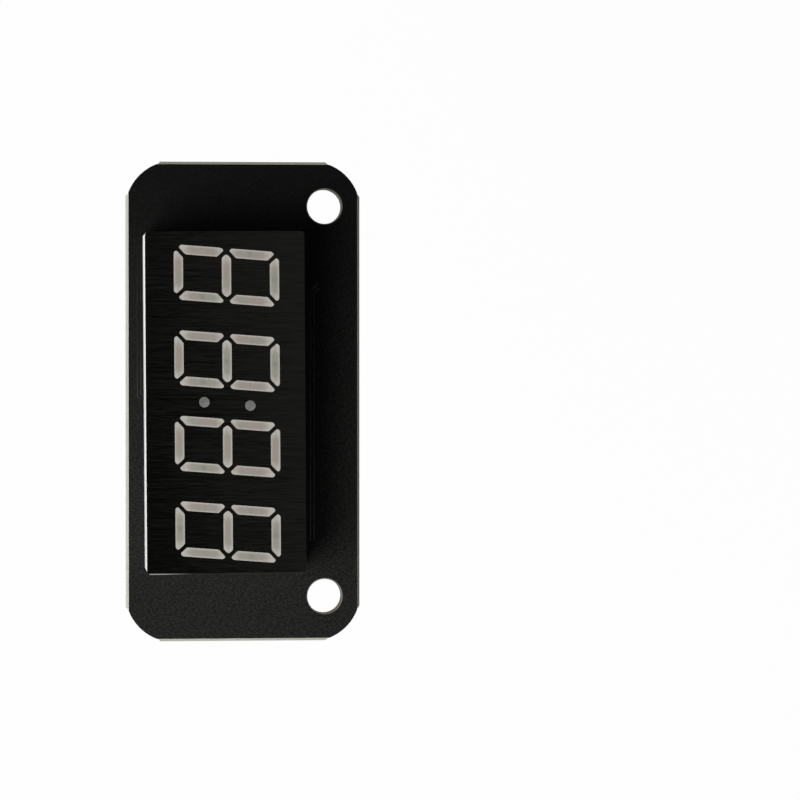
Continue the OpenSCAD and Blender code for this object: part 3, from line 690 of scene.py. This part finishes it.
def mould_finish():
    finish = Finish("chip_mould", Specular_IOR_Level=0.1)
    radius = far(*finish.xy(), DIMPLE)
    # Painted shade: the dimple's pit.
    pit = 1 - radius.fade(DIMPLE_R - 0.1, DIMPLE_R)
    # Painted highlight: the dimple's lip.
    lip = radius.between((DIMPLE_R - 0.06, DIMPLE_R), (DIMPLE_R, DIMPLE_R + 0.1))
    cloud = finish.noise(1.4, 3.0)
    grain = finish.noise(0.07, 2.0, 0.6)
    matt = (cloud * 0.6 + grain * 0.4).fade(0.3, 0.7)
    grey = finish.blend((0.0055, 0.0055, 0.0052), (0.0105, 0.0105, 0.010), matt)
    lip_highlighted = finish.blend(grey, (0.03, 0.03, 0.029), lip * 0.8)
    return finish.paint(
        Base_Color=finish.blend(lip_highlighted, (0.0004, 0.0004, 0.0004), pit),
        Metallic=pit,
        Roughness=0.44 + grain * 0.12,
        Normal=finish.bump(grain, 0.006, 0.8),
    )

put_on(mould_finish(), "driver_body")

# %% [markdown]
# The leads, pins and chip ends are plated metal that was rolled, stamped or dipped. Rolled metal
# has fine lines along its length, and the dipped ends are matt and slightly lumpy. One recipe
# takes the size of the grain on each axis, so that its lines can run along a lead.

# %% Plated metal
def metal_finish(name, dark, light, roughness, grain_mm, grain_depth_mm=0.004, painted_light=None):
    """The last argument gives the share of the light tone from a finish, as painted highlights and
    painted dark reflection, where noise is not what spreads it.
    """
    finish = Finish(name, Metallic=1.0)
    grain = finish.noise(grain_mm, 2.0, 0.6)
    share = finish.noise(0.5, 2.0).fade(0.3, 0.68)
    if painted_light:
        # Painted highlights and painted dark reflection, where a function places them.
        share = painted_light(finish) * (share * 0.35 + 0.65) + share * 0.06
    return finish.paint(
        Base_Color=finish.blend(dark, light, share),
        Roughness=roughness - 0.08 + grain * 0.16,
        Normal=finish.bump(grain, grain_depth_mm, 0.7),
    )

put_on(
    metal_finish("chip_end_metal", (0.13, 0.13, 0.10), (0.66, 0.66, 0.63), 0.4, 0.08, 0.008),
    "resistor_ends", "capacitor_ends", "power_light_ends",
)

# %% [markdown]
# Bent and flat leads mirror the lamp in some places and the dark room in others. Each kind has its
# own places of painted highlight and painted dark reflection, so each gets a small function that
# gives them, and the recipe above calls it.

# %% Painted highlights on leads, pins and anchors
SHOULDER_FALL = (4.1, 4.3)    # distances from the driver's middle line
FOOT_RISE = (4.75, 4.9)
FOOT_FALL = (5.2, 5.3)
DARK_REFLECTION_RISE = (-18.15, -17.9)   # places along Y, on the socket's leads
DARK_REFLECTION_FALL = (-15.6, -15.4)
LAMP_SIDE_FALL = (-10, -8)         # places along X, between the socket's two anchors

def lead_bend(finish):
    """A driver's lead has a painted highlight on its shoulder and on its foot, and painted dark
    reflection between.
    """
    y = finish.xy()[1]
    out = abs(y - DRIVER_Y)
    shoulder_highlight = 1 - out.fade(*SHOULDER_FALL)
    return (shoulder_highlight + out.between(FOOT_RISE, FOOT_FALL)) * end_row(y, 0.4)

def lead_end(finish):
    """The socket's leads are painted dark beside the housing, as painted reflection, and get a
    painted highlight at their tips and on its pins.
    """
    return 1 - finish.xy()[1].between(DARK_REFLECTION_RISE, DARK_REFLECTION_FALL)

def near_side(finish):
    """Painted highlight: of the socket's two anchors, the one further from the mounting holes faces
    the lamp and is painted light.
    """
    return 1 - finish.xy()[0].fade(*LAMP_SIDE_FALL)

# %% Leads, pins and anchors
put_on(
    metal_finish(
        "chip_lead", (0.014, 0.014, 0.0135), (0.88, 0.87, 0.84), 0.24, (0.05, 0.8, 0.8),
        painted_light=lead_bend,
    ),
    "driver_leads",
)
put_on(
    metal_finish(
        "contact_metal", (0.005, 0.005, 0.004), (0.42, 0.41, 0.38), 0.26, (0.05, 0.5, 0.5),
        painted_light=lead_end,
    ),
    "socket_pins",
)
put_on(
    metal_finish(
        "anchor_metal", (0.022, 0.022, 0.018), (0.88, 0.87, 0.84), 0.26, (0.3, 0.08, 0.3), 0.0012,
        painted_light=near_side,
    ),
    "socket_anchors",
)

# %% [markdown]
# The print and the mask's relief are thin bars that follow flat lines. One helper sweeps a section
# along a route, with mitred corners, so a frame, a circle and a copper edge are all the same kind
# of shape. Routes are in millimetres on the board, and a section's points are given as sideways
# distance and height above the face.

# %% Thin bars along a route
BACK = (board_low.z / MM, -1)    # the back face of the board, and the way that it faces
FRONT = (board_high.z / MM, 1)
SUNK = 0.004                     # how far a thin bar reaches into the face below it

def side_of(a, b):
    run = (b - a).normalized()
    return Vector((-run.y, run.x))

def bridge(mesh, ring, following):
    """Adds the faces between two rings of points."""
    count = len(ring)
    for k in range(count):
        after = (k + 1) % count
        mesh.faces.new((ring[k], ring[after], following[after], following[k]))

def sweep(mesh, route, section, face, closed=False):
    """Adds a bar with a section along a route to a mesh."""
    points = [Vector(p) for p in route]
    count = len(points)
    sides = [side_of(points[i], points[(i + 1) % count]) for i in range(count)]
    if not closed:
        sides[-1] = sides[-2]
    rings = []
    for i, point in enumerate(points):
        before = sides[i - 1] if closed or i > 0 else sides[0]
        out = (before + sides[i]).normalized()
        out /= out.dot(sides[i])
        rings.append(
            [
                mesh.verts.new((*(point + out * sideways), face[0] + face[1] * height))
                for sideways, height in section
            ]
        )
    for i in range(count if closed else count - 1):
        bridge(mesh, rings[i], rings[(i + 1) % count])
    if not closed:
        mesh.faces.new(rings[0])
        mesh.faces.new(rings[-1])

# %% Arcs and round shapes
def arc(centre, radius, start, end, steps=24):
    """Points along an arc, with angles in degrees."""
    turns = [math.radians(start + (end - start) * i / steps) for i in range(steps + 1)]
    return [(centre[0] + radius * math.cos(t), centre[1] + radius * math.sin(t)) for t in turns]

def circle(centre, radius, steps=48):
    return arc(centre, radius, 0, 360, steps)[:-1]

def turned(mesh, centre, profile, face, steps=24):
    """Adds a shape turned about an upright axis, from points of radius and height."""
    rings = [
        [
            mesh.verts.new((*point, face[0] + face[1] * height))
            for point in circle(centre, radius, steps)
        ]
        for radius, height in profile
    ]
    for ring, following in zip(rings, rings[1:]):
        bridge(mesh, ring, following)
    mesh.faces.new(rings[0])
    mesh.faces.new(rings[-1])

# %% From a mesh to a piece
def piece(name, mesh, finish, smooth=False):
    """Turns a mesh in millimetres into a piece that rides with the module."""
    bmesh.ops.recalc_face_normals(mesh, faces=mesh.faces)
    mesh.transform(Matrix.Scale(MM, 4))
    data = bpy.data.meshes.new(name)
    mesh.to_mesh(data)
    mesh.free()
    for face in data.polygons:
        face.use_smooth = smooth
    data.materials.append(finish.material)
    made = add(name, data)
    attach(made, "root")
    print(name, "faces:", len(data.polygons))

# %% [markdown]
# Under the mask lies a sheet of copper, with a narrow channel round each track, hole and pad. The
# mask follows it, so each channel's edge stands as a thin line, which is also painted lighter as a
# painted highlight. Those lines are what the eye sees of the circuit, so each channel is drawn by
# its two edges. They are rounded ridges, high enough to catch the lamp.

# %% Copper edges: one ridge, and a channel
EDGE_W = 0.085
EDGE_H = 0.022
CHANNEL = 0.325             # half of a channel's width
FRONT_CHANNEL = 0.16

def edge_section(offset=0.0):
    half = EDGE_W / 2
    shape = [
        (-half, -SUNK),
        (-half * 0.5, EDGE_H * 0.8),
        (0, EDGE_H),
        (half * 0.5, EDGE_H * 0.8),
        (half, -SUNK),
    ]
    return [(offset + sideways, height) for sideways, height in shape]

def channel(mesh, route, face=BACK, half=CHANNEL):
    for offset in (-half, half):
        sweep(mesh, route, edge_section(offset), face)

def edge_finish(name, light, gloss=0.4):
    """The same black mask, painted lighter in broken stretches where it stands proud, as a painted
    highlight.
    """
    finish = Finish(name, Specular_IOR_Level=gloss)
    grain = finish.noise(0.12, 2.0)
    broken = finish.noise(0.7, 3.0)
    # Painted highlight: the light tone on the ridges, broken by noise.
    dark = tuple(c * 0.2 for c in light)
    return finish.paint(
        Base_Color=finish.blend(dark, light, broken.fade(0.3, 0.6)),
        Roughness=0.3 + grain * 0.15,
        Normal=finish.bump(grain, 0.003, 0.5),
    )

# %% Copper edges: the back's channels and rings
PIN_RING = 1.03             # radii of the clear rings round a pin's pad, a hole's ring and a via
HOLE_RING = 2.93
VIA_RING = 0.55

# Each route starts clear of the ring of the pin or via that it comes from
BACK_ROUTES = [
    [(-15.35, -6.35), (-15.9, -6.35), (-16.49, -5.76), (-16.49, 12.3), (-15.6, 13.2)],
    [(-15.3, -3.6), (-15.82, -3.1), (-15.82, 7.5), (-15.3, 8.05)],
    [(-12.0, -10.6), (-12.0, 1.4), (-12.34, 1.75), (-12.34, 8.3)],
    [(-6.6, -10.6), (-6.6, -2.1)],
    [(-15.1, -7.94), (-13.6, -7.94), (-12.78, -7.12), (-12.78, -5.4)],
    [(-3.36, -0.55), (-1.24, 1.45), (-1.24, 13.6)],
    [(-3.36, 4.55), (-2.05, 5.85), (-2.05, 12.9)],
    [(-9.27, 2.3), (-9.27, 6.75), (-8.8, 7.2)],
    [(-7.85, 7.53), (-6.76, 7.53), (-5.9, 8.4)],
    [(-11.05, 6.93), (-11.05, 8.3)],
    [(-12.0, 3.34), (-11.35, 3.34)],
]
# A via's middle, and the angles that its ring runs between, which leave its track an opening
VIAS = [
    ((-8.35, 7.5), (10, 200)),
    ((-11.05, 6.39), (120, 420)),
    ((-7.05, 3.29), (190, 530)),
    ((-8.1, 6.1), (0, 359)),
]

relief = bmesh.new()
for route in BACK_ROUTES:
    channel(relief, route)
for x in PIN_X:
    for y in PIN_Y:
        sweep(relief, circle((x, y), PIN_RING), edge_section(), BACK, closed=True)
for y in (-HOLE_Y, HOLE_Y):
    sweep(relief, circle((0, y), HOLE_RING, 72), edge_section(), BACK, closed=True)
for centre, (start, end) in VIAS:
    sweep(relief, arc(centre, VIA_RING, start, end, 32), edge_section(), BACK)
piece(
    "mask_relief", relief, edge_finish("mask_edge", (0.075, 0.075, 0.078)),
    smooth=True,
)

# %% [markdown]
# A via is a small plated hole that the mask has closed, with a dimple in its middle. It is turned
# from a short profile, as a button would be.

# %% Vias
VIA_PROFILE = [(0.34, -SUNK), (0.3, 0.018), (0.2, 0.024), (0.1, -0.003), (0.02, -0.03)]

caps = bmesh.new()
for centre, _ in VIAS:
    turned(caps, centre, VIA_PROFILE, BACK)
piece(
    "via_caps", caps, edge_finish("via_cap", (0.012, 0.012, 0.012), 0.06),
    smooth=True,
)

# %% [markdown]
# On the front the copper is thinner and the mask thicker, so only two faint lines show beside the
# display.

# %% Copper edges: the front
FRONT_ROUTES = [
    [(-16.6, 13.8), (-16.6, 0.6), (-16.2, 0.2)],
    [(-1.1, -12.5), (-1.1, 9.8), (-0.6, 10.3)],
]

front_relief = bmesh.new()
for route in FRONT_ROUTES:
    channel(front_relief, route, FRONT, FRONT_CHANNEL)
piece(
    "front_relief", front_relief, edge_finish("faint_edge", (0.012, 0.012, 0.012)),
    smooth=True,
)

# %% [markdown]
# White ink is screened on last. It is a flat band with soft shoulders, as ink that has settled
# has, and a round dot is turned from the same kind of profile.

# %% White print: lines and dots
INK_T = 0.018

def ink_section(width):
    half = width / 2
    return [
        (-half, -SUNK),
        (-half, INK_T * 0.5),
        (-half * 0.8, INK_T),
        (half * 0.8, INK_T),
        (half, INK_T * 0.5),
        (half, -SUNK),
    ]

THIN = ink_section(0.2)
THICK = ink_section(0.27)         # a capacitor's frame
LIGHT_BAR = ink_section(0.14)     # the second bar at one end of the power light's frame
DRIVER_LINE = ink_section(0.17)

ink = bmesh.new()

def line(*route, section=THIN, closed=False):
    sweep(ink, route, section, BACK, closed)

def dot(centre, radius):
    turned(ink, centre, [(radius, -SUNK), (radius - 0.02, INK_T), (0.01, INK_T)], BACK)

# %% [markdown]
# Each small chip has a frame in two halves, open at the middle. A resistor's frame has small
# corners, a capacitor's has round ones and a thicker line, and the power light's has cut corners
# and a double bar at one end. The chips stand in a grid, so their places come from its pitch.

# %% White print: frames of the small chips
COLUMNS = (-10.425, -8.275)
ROW_PITCH = 3.34
ROW_OFF = -0.75
RESISTOR_FRAME = (0.68, 1.4, 0.4)      # half its width, half its length, half its open gap
CAPACITOR_FRAME = (0.75, 1.41, 0.26)
LIGHT_FRAME = (0.74, 1.62, 0.34)
ROUND_CORNER = (0.34, True)            # a corner's size, and whether it is round
SMALL_CORNER = 0.12
CUT_CORNER = (0.3, False)
LIGHT_BAR_OFF = 1.36                   # from the power light's middle
LIGHT_BAR_HALF = 0.56

def chip_place(column, row):
    return Vector((COLUMNS[column], (row - 1.5) * ROW_PITCH + ROW_OFF))

def half_frame(place, measures, end, corner):
    """A frame's half, from its open side round one end, which is -1 towards the socket."""
    half_w, half_l, gap = measures
    size, is_round = corner
    steps = 6 if is_round else 1
    turns = [math.pi / 2 * i / steps for i in range(steps + 1)]
    bend = [
        (half_w - size + size * math.cos(t), half_l - size + size * math.sin(t)) for t in turns
    ]
    outline = [(half_w, gap), *bend, *[(-x, y) for x, y in reversed(bend)], (-half_w, gap)]
    return [(place.x + x, place.y + y * end) for x, y in outline]

resistors = [chip_place(0, 0), chip_place(0, 2), chip_place(1, 2)]
capacitors = [chip_place(0, 1), chip_place(1, 1), chip_place(0, 3), chip_place(1, 3)]
power_light = chip_place(1, 0)
for end in (-1, 1):
    for place in resistors:
        line(*half_frame(place, RESISTOR_FRAME, end, (SMALL_CORNER, end < 0)))
    for place in capacitors:
        line(*half_frame(place, CAPACITOR_FRAME, end, ROUND_CORNER), section=THICK)
    corner = (SMALL_CORNER, True) if end < 0 else CUT_CORNER
    line(*half_frame(power_light, LIGHT_FRAME, end, corner))
bar_y = power_light.y + LIGHT_BAR_OFF
line(
    (power_light.x - LIGHT_BAR_HALF, bar_y),
    (power_light.x + LIGHT_BAR_HALF, bar_y),
    section=LIGHT_BAR,
)
print("frames:", len(resistors) + len(capacitors) + 1)

# %% White print: driver chip and socket
DRIVER_LINE_X = -15.71
FIRST_LEAD_DOT = (-15.75, 18.62)
FIRST_PIN_DOT = (-13.6, -17.17)

line((-15.35, 10.15), (DRIVER_LINE_X, 10.15), (DRIVER_LINE_X, 13.4), section=DRIVER_LINE)
line((DRIVER_LINE_X, 14.66), (DRIVER_LINE_X, 17.9), section=DRIVER_LINE)
dot(FIRST_LEAD_DOT, 0.31)
dot(FIRST_PIN_DOT, 0.23)
dot(SPOT_RING, 0.28)

# %% [markdown]
# Numbers come from the built-in letter shapes, which are flat. Each is made thick, and set upright
# as seen from the back, with its top towards the socket's end, so it is turned half a turn about X.

# %% White print: a number
def number(mesh, text, place, height, turn=0.0, bold=0.0, face=BACK, thick=INK_T):
    """Adds a number to a mesh, centred on a place, with its height in millimetres."""
    curve = bpy.data.curves.new("number", "FONT")
    curve.body = text
    curve.resolution_u = 3
    curve.offset = bold
    holder = add("number", curve)
    bpy.context.view_layer.update()
    seen = holder.evaluated_get(bpy.context.evaluated_depsgraph_get())
    flat = bpy.data.meshes.new_from_object(seen)
    bpy.data.objects.remove(holder)
    shape = bmesh.new()
    shape.from_mesh(flat)
    bmesh.ops.remove_doubles(shape, verts=shape.verts, dist=1e-5)
    xs = [v.co.x for v in shape.verts]
    ys = [v.co.y for v in shape.verts]
    middle = Vector(((max(xs) + min(xs)) / 2, (max(ys) + min(ys)) / 2, 0))
    shape.transform(Matrix.Translation(-middle))
    shape.transform(Matrix.Scale(height / (max(ys) - min(ys)), 4))
    walls = bmesh.ops.extrude_face_region(shape, geom=shape.faces[:])
    raised = [v for v in walls["geom"] if isinstance(v, bmesh.types.BMVert)]
    bmesh.ops.translate(shape, verts=raised, vec=(0, 0, thick + SUNK))
    flip = Matrix.Rotation(math.pi, 4, "X") if face[1] < 0 else Matrix.Identity(4)
    low = Matrix.Translation((*place, face[0] - face[1] * SUNK))
    shape.transform(low @ flip @ Matrix.Rotation(math.radians(turn), 4, "Z"))
    shape.to_mesh(flat)
    shape.free()
    mesh.from_mesh(flat)
    bpy.data.meshes.remove(flat)

# %% White print: the socket's pin numbers
LABEL_X = (-13.1, -10.56, -7.69, -4.65)
LABEL_Y = -20.1
LABEL_H = 1.2
BARS_X = (-11.94, -9.19, -6.19)     # short bars part the numbers
BAR_HALF = 0.72
BOLD = 0.02

for text, x in zip("1234", LABEL_X):
    number(ink, text, (x, LABEL_Y), LABEL_H, bold=BOLD)
for x in BARS_X:
    line((x, LABEL_Y - BAR_HALF), (x, LABEL_Y + BAR_HALF))
print("pin numbers:", len(LABEL_X))

# %% [markdown]
# A plain scale in millimetres stands along the edge that has the holes, with a long mark and a
# number at every fifth millimetre.

# %% White print: the scale
SCALE_X = 1.75
SCALE_FROM = 13.2
SCALE_MARKS = 20
LONG_MARK = 1.5
SHORT_MARK = 0.8
FIGURE_OVER = 2.45
FIGURE_H = 1.15
OVERRUN = 0.1

for i in range(SCALE_MARKS + 1):
    y = SCALE_FROM - i
    length = LONG_MARK if i % 5 == 0 else SHORT_MARK
    line((SCALE_X - length, y), (SCALE_X, y))
    if i % 5 == 0:
        number(ink, str(i), (SCALE_X - FIGURE_OVER, y), FIGURE_H, turn=90, bold=BOLD)
line((SCALE_X, SCALE_FROM + OVERRUN), (SCALE_X, SCALE_FROM - SCALE_MARKS - OVERRUN))
print("scale marks:", SCALE_MARKS + 1)

# %% White print: the light's sign beside the power light
SIGN_X = -6.75
SIGN_Y = -5.9
STEM_END = 1.7              # distances from the sign's middle
PLATE = 0.55
TIP = 0.4
FOOT = 0.5

line((SIGN_X, SIGN_Y - STEM_END), (SIGN_X, SIGN_Y - PLATE))
line((SIGN_X, SIGN_Y + PLATE), (SIGN_X, SIGN_Y + STEM_END))
line((SIGN_X - PLATE, SIGN_Y + PLATE), (SIGN_X + PLATE, SIGN_Y + PLATE))
line(
    (SIGN_X, SIGN_Y + TIP),
    (SIGN_X - FOOT, SIGN_Y - FOOT),
    (SIGN_X + FOOT, SIGN_Y - FOOT),
    closed=True,
)
print("white print points:", len(ink.verts))

# %% White print: its finish
def ink_finish():
    """Ink is matt, and a little grey where it lies thin."""
    finish = Finish("white_print")
    thin_spot = finish.noise(0.22, 3.0, 0.6)
    grain = finish.noise(0.06, 2.0)
    return finish.paint(
        Base_Color=finish.blend((0.62, 0.62, 0.61), (0.88, 0.88, 0.86), thin_spot.fade(0.25, 0.5)),
        Roughness=0.5 + grain * 0.15,
        Normal=finish.bump(grain, 0.004, 0.6),
    )

ink_paint = ink_finish()
piece("white_print", ink, ink_paint)

# %% [markdown]
# Each resistor carries one plain number in the same ink. It is a piece of its own, because it lies
# on the chips and not on the board, and it is thinner.

# %% Numbers on the resistors
resistor_face = (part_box("resistor_bodies")[0].z / MM, -1)
marks = bmesh.new()
for place in resistors:
    number(marks, "103", place, 0.42, turn=90, face=resistor_face, thick=0.006)
piece("resistor_numbers", marks, ink_paint)

# %% [markdown]
# The photograph has a white ground. The floor lies below the module, and it is white to the camera
# while it keeps a part of the module's shadow. Polished metal sees it white as well. From below it
# can be seen through, and the lamps below it shine through it, so the back shows as well.

# %% Floor
FLOOR_Z = -120 * MM
FLOOR_HALF = 2.0
WHITE_SHARE = 0.97          # the rest of the floor's tone comes from the lamps, with the shadow

floor_mesh = bpy.data.meshes.new("floor")
floor_mesh.from_pydata(
    [(x * FLOOR_HALF, y * FLOOR_HALF, FLOOR_Z) for x, y in ((-1, -1), (1, -1), (1, 1), (-1, 1))],
    [],
    [(0, 1, 2, 3)],
)
floor = add("floor", floor_mesh)
ground = Finish("pale_floor")
seen = ground.ray("Camera").most(ground.ray("Glossy")).most(ground.ray("Transmission"))
matt = ground.node("BsdfDiffuse", {}, {"Color": (0.9, 0.9, 0.9)})
glow = ground.node("Emission", {}, {"Color": (1.0, 1.0, 1.0), "Strength": 1.0})
white = ground.node("MixShader", {}, {0: seen * WHITE_SHARE, 1: matt, 2: glow})
clear = ground.node("BsdfTransparent")
below = ground.node("NewGeometry", out="Backfacing").most(ground.ray("Shadow"))
shown = ground.node("MixShader", {}, {0: below, 1: white, 2: clear})
ground.feed(ground.tree.nodes["Material Output"].inputs["Surface"], shown)
floor_mesh.materials.append(ground.material)
print("floor at", round(FLOOR_Z / MM), "mm")

# %% [markdown]
# The world is white to the camera and dim to the part, because the photograph's light comes from
# one side. Polished metal sees it bright along the horizon and dark overhead, which gives a curved
# lead its dark and light bands.

# %% World
AMBIENT = 0.12
GLOSS_DIM = 0.02

world = bpy.data.worlds.new("studio")
world.use_nodes = True
bpy.context.scene.world = world
studio = Finish("studio", tree=world.node_tree)
height = studio.axes(studio.node("TexCoord", out="Generated"))[2]
horizon = 1 - abs(height).fade(0.1, 0.55)
to_camera = studio.ray("Camera")
shine = studio.ray("Glossy").most(studio.ray("Transmission"))
level = shine * (horizon * (1 - GLOSS_DIM) + GLOSS_DIM) + (1 - shine) * AMBIENT
background = world.node_tree.nodes["Background"]
studio.feed(background.inputs["Color"], (1.0, 1.0, 1.0))
studio.feed(background.inputs["Strength"], level * (1 - to_camera) + to_camera)
print("world strength on the part:", AMBIENT)

# %% [markdown]
# A large soft lamp stands at the lower left and little light comes from elsewhere, so the display
# throws a deep shade to its right. A low lamp beside it lights the pale left wall. The back has a
# pair of its own, a main lamp and a low one, so that it is as plain to see as the front.

# %% Lamps
LAMP_FAR = 0.45

def lamp(name, toward, size, watts):
    """A square soft lamp that shines on the middle of the board."""
    data = bpy.data.lights.new(name, "AREA")
    data.size = size
    data.energy = watts
    made = add(name, data)
    way = Vector(toward).normalized()
    made.location = board_mid + way * LAMP_FAR
    made.rotation_mode = "QUATERNION"
    made.rotation_quaternion = way.to_track_quat("Z", "Y")
    made.visible_camera = False
    print(name, watts, "W")

lamp("front_lamp", (-0.62, -0.40, 1.0), 0.28, 1.8)
lamp("front_side", (-1.0, -0.8, 0.35), 0.2, 0.55)
lamp("back_lamp", (-0.62, 0.40, -1.0), 0.2, 1.0)
lamp("back_side", (-0.1, 1.0, -0.35), 0.2, 0.5)

# %% [markdown]
# The renderer keeps its own view settings, and only the standard transform is asked for.

# %% View transform
bpy.context.scene.view_settings.view_transform = "Standard"
